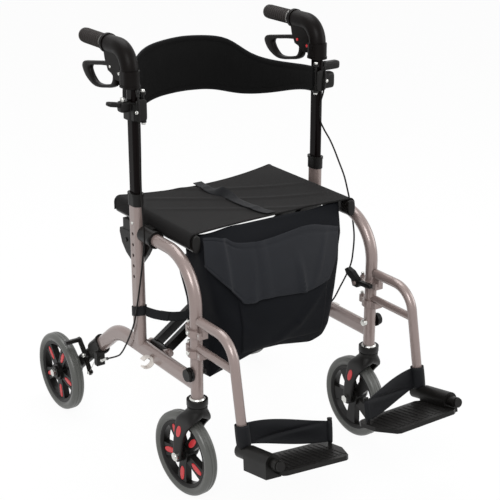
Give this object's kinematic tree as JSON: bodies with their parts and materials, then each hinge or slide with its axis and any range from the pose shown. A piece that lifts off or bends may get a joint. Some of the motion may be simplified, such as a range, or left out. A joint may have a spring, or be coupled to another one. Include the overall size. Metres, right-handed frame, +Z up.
{
  "type": "rollator transport chair",
  "caption": "Folding rollator that is also a transport chair: tube side frames, crossed braces, sling seat with bag, bowed backrest, hand brakes, casters and swing-away footrests.",
  "frame": {"origin": "middle of the bounding box on the floor", "axes": "+Z up, -Y towards the front (footrests), X across the chair"},
  "size_m": [0.6232, 1.0006, 1.007],
  "materials": {
    "taupe_paint": "satin metallic",
    "black_plastic": "matte",
    "zinc_steel": "bright",
    "grey_tyre": "matte",
    "clear_clip": "gloss",
    "grip_rubber": "matte",
    "cable_sheath": "satin",
    "webbing": "woven",
    "black_paint": "satin",
    "seat_fabric": "woven",
    "bag_fabric": "woven",
    "back_fabric": "woven"
  },
  "bodies": {
    "left_frame": {"lower_rail_left": "taupe_paint", "upright_left": "taupe_paint", "front_tube_left": "taupe_paint", "upright_collar_left": "black_plastic", "arch_bracket_left": "black_plastic", "wheel_socket_left": "black_plastic", "rear_axle_left": "zinc_steel", "rail_knob_left": "black_plastic", "rail_clip_left": "clear_clip", "brake_cable_left": "cable_sheath"},
    "right_frame": {"lower_rail_right": "taupe_paint", "upright_right": "taupe_paint", "front_tube_right": "taupe_paint", "upright_collar_right": "black_plastic", "arch_bracket_right": "black_plastic", "wheel_socket_right": "black_plastic", "rear_axle_right": "zinc_steel", "rail_knob_right": "black_plastic", "rail_clip_right": "clear_clip", "brake_cable_right": "cable_sheath"},
    "brace_a": {"brace_a": "black_paint", "seat": "seat_fabric"},
    "brace_b": {"brace_b": "black_paint"},
    "bag": {"bag": "bag_fabric"},
    "left_rear_wheel": {"rear_tyre_left": "grey_tyre", "rear_rim_left": "black_plastic"},
    "left_caster": {"caster_fork_left": "black_plastic", "caster_axle_left": "zinc_steel"},
    "left_front_wheel": {"front_tyre_left": "grey_tyre", "front_rim_left": "black_plastic"},
    "left_handle": {"handle_tube_left": "black_paint", "handle_housing_left": "black_plastic", "grip_left": "grip_rubber", "backrest_clamp_left": "black_plastic", "backrest": "back_fabric"},
    "left_brake_lever": {"brake_lever_left": "black_plastic"},
    "left_brake_arm": {"brake_arm_left": "black_paint"},
    "left_hanger": {"hanger_left": "taupe_paint", "foot_block_left": "black_plastic", "heel_strap_left": "webbing"},
    "left_latch": {"hanger_latch_left": "black_plastic"},
    "left_footplate": {"footplate_left": "black_plastic"},
    "right_rear_wheel": {"rear_tyre_right": "grey_tyre", "rear_rim_right": "black_plastic"},
    "right_caster": {"caster_fork_right": "black_plastic", "caster_axle_right": "zinc_steel"},
    "right_front_wheel": {"front_tyre_right": "grey_tyre", "front_rim_right": "black_plastic"},
    "right_handle": {"handle_tube_right": "black_paint", "handle_housing_right": "black_plastic", "grip_right": "grip_rubber", "backrest_clamp_right": "black_plastic"},
    "right_brake_lever": {"brake_lever_right": "black_plastic"},
    "right_brake_arm": {"brake_arm_right": "black_paint"},
    "right_hanger": {"hanger_right": "taupe_paint", "foot_block_right": "black_plastic", "heel_strap_right": "webbing"},
    "right_latch": {"hanger_latch_right": "black_plastic"},
    "right_footplate": {"footplate_right": "black_plastic"}
  },
  "joints": [
    {"name": "fold", "type": "hinge", "parent": "left_frame", "child": "brace_a", "pos_m": [-0.222, 0.004, 0.3], "axis": [0, -1, 0], "range_deg": [0, 14], "deforming": ["seat", "bag", "backrest"]},
    {"name": "brace_cross", "type": "hinge", "parent": "brace_a", "child": "brace_b", "pos_m": [0, 0.004, 0.44988], "axis": [0, 1, 0], "range_deg": [0, 28]},
    {"name": "right_brace_pivot", "type": "hinge", "parent": "brace_b", "child": "right_frame", "pos_m": [0.222, 0.004, 0.3], "axis": [0, -1, 0], "range_deg": [0, 14]},
    {"name": "bag_hang", "type": "hinge", "parent": "brace_a", "child": "bag", "pos_m": [0.212, -0.11, 0.602], "axis": [0, 1, 0], "range_deg": [0, 14]},
    {"name": "left_height", "type": "slide", "parent": "left_frame", "child": "left_handle", "axis": [0, 0, 1], "range_m": [-0.128, 0], "deforming": ["brake_cable_left"]},
    {"name": "right_height", "type": "slide", "parent": "right_frame", "child": "right_handle", "axis": [0, 0, 1], "range_m": [-0.128, 0], "deforming": ["brake_cable_right"]},
    {"name": "left_brake_squeeze", "type": "hinge", "parent": "left_handle", "child": "left_brake_lever", "pos_m": [-0.253, 0.111, 0.94], "axis": [1, 0, 0], "range_deg": [0, 12], "stiffness_Nm_per_rad": 2},
    {"name": "left_brake_arm_turn", "type": "hinge", "parent": "left_frame", "child": "left_brake_arm", "pos_m": [-0.262, 0.309, 0.1717], "axis": [-1, 0, 0], "range_deg": [0, 17]},
    {"name": "left_rear_wheel_spin", "type": "hinge", "parent": "left_frame", "child": "left_rear_wheel", "pos_m": [-0.285, 0.399, 0.1], "axis": [1, 0, 0], "continuous": true},
    {"name": "left_caster_swivel", "type": "hinge", "parent": "left_frame", "child": "left_caster", "pos_m": [-0.243, -0.183, 0.26], "axis": [0, 0, 1], "continuous": true},
    {"name": "left_front_wheel_spin", "type": "hinge", "parent": "left_caster", "child": "left_front_wheel", "pos_m": [-0.24731, -0.13821, 0.1], "axis": [0.9954, 0.0958, 0], "continuous": true},
    {"name": "left_hanger_swing", "type": "hinge", "parent": "left_frame", "child": "left_hanger", "pos_m": [-0.243, -0.183, 0.39], "axis": [0, 0, -1], "range_deg": [0, 90]},
    {"name": "left_latch_press", "type": "hinge", "parent": "left_hanger", "child": "left_latch", "pos_m": [-0.215, -0.166, 0.416], "axis": [-1, 0, 0], "range_deg": [0, 20], "stiffness_Nm_per_rad": 0.5},
    {"name": "left_footplate_flip", "type": "hinge", "parent": "left_hanger", "child": "left_footplate", "pos_m": [-0.243, -0.366, 0.206], "axis": [0, -0.9816, 0.1908], "range_deg": [0, 90], "deforming": ["heel_strap_left"]},
    {"name": "right_brake_squeeze", "type": "hinge", "parent": "right_handle", "child": "right_brake_lever", "pos_m": [0.253, 0.111, 0.94], "axis": [1, 0, 0], "range_deg": [0, 12], "stiffness_Nm_per_rad": 2},
    {"name": "right_brake_arm_turn", "type": "hinge", "parent": "right_frame", "child": "right_brake_arm", "pos_m": [0.262, 0.309, 0.1717], "axis": [-1, 0, 0], "range_deg": [0, 17]},
    {"name": "right_rear_wheel_spin", "type": "hinge", "parent": "right_frame", "child": "right_rear_wheel", "pos_m": [0.285, 0.399, 0.1], "axis": [1, 0, 0], "continuous": true},
    {"name": "right_caster_swivel", "type": "hinge", "parent": "right_frame", "child": "right_caster", "pos_m": [0.243, -0.183, 0.26], "axis": [0, 0, 1], "continuous": true},
    {"name": "right_front_wheel_spin", "type": "hinge", "parent": "right_caster", "child": "right_front_wheel", "pos_m": [0.243, -0.138, 0.1], "axis": [1, 0, 0], "continuous": true},
    {"name": "right_hanger_swing", "type": "hinge", "parent": "right_frame", "child": "right_hanger", "pos_m": [0.243, -0.183, 0.39], "axis": [0, 0, 1], "range_deg": [0, 90]},
    {"name": "right_latch_press", "type": "hinge", "parent": "right_hanger", "child": "right_latch", "pos_m": [0.215, -0.166, 0.416], "axis": [-1, 0, 0], "range_deg": [0, 20], "stiffness_Nm_per_rad": 0.5},
    {"name": "right_footplate_flip", "type": "hinge", "parent": "right_hanger", "child": "right_footplate", "pos_m": [0.243, -0.366, 0.206], "axis": [0, 0.9816, -0.1908], "range_deg": [0, 90], "deforming": ["heel_strap_right"]}
  ],
  "couplings": [
    {"joint": "brace_cross", "follows": "fold", "ratio": 2},
    {"joint": "right_brace_pivot", "follows": "fold", "ratio": 1},
    {"joint": "bag_hang", "follows": "fold", "ratio": 1},
    {"joint": "right_height", "follows": "left_height", "ratio": 1},
    {"joint": "left_brake_arm_turn", "follows": "left_brake_squeeze", "ratio": 1.4167},
    {"joint": "right_brake_arm_turn", "follows": "right_brake_squeeze", "ratio": 1.4167}
  ]
}
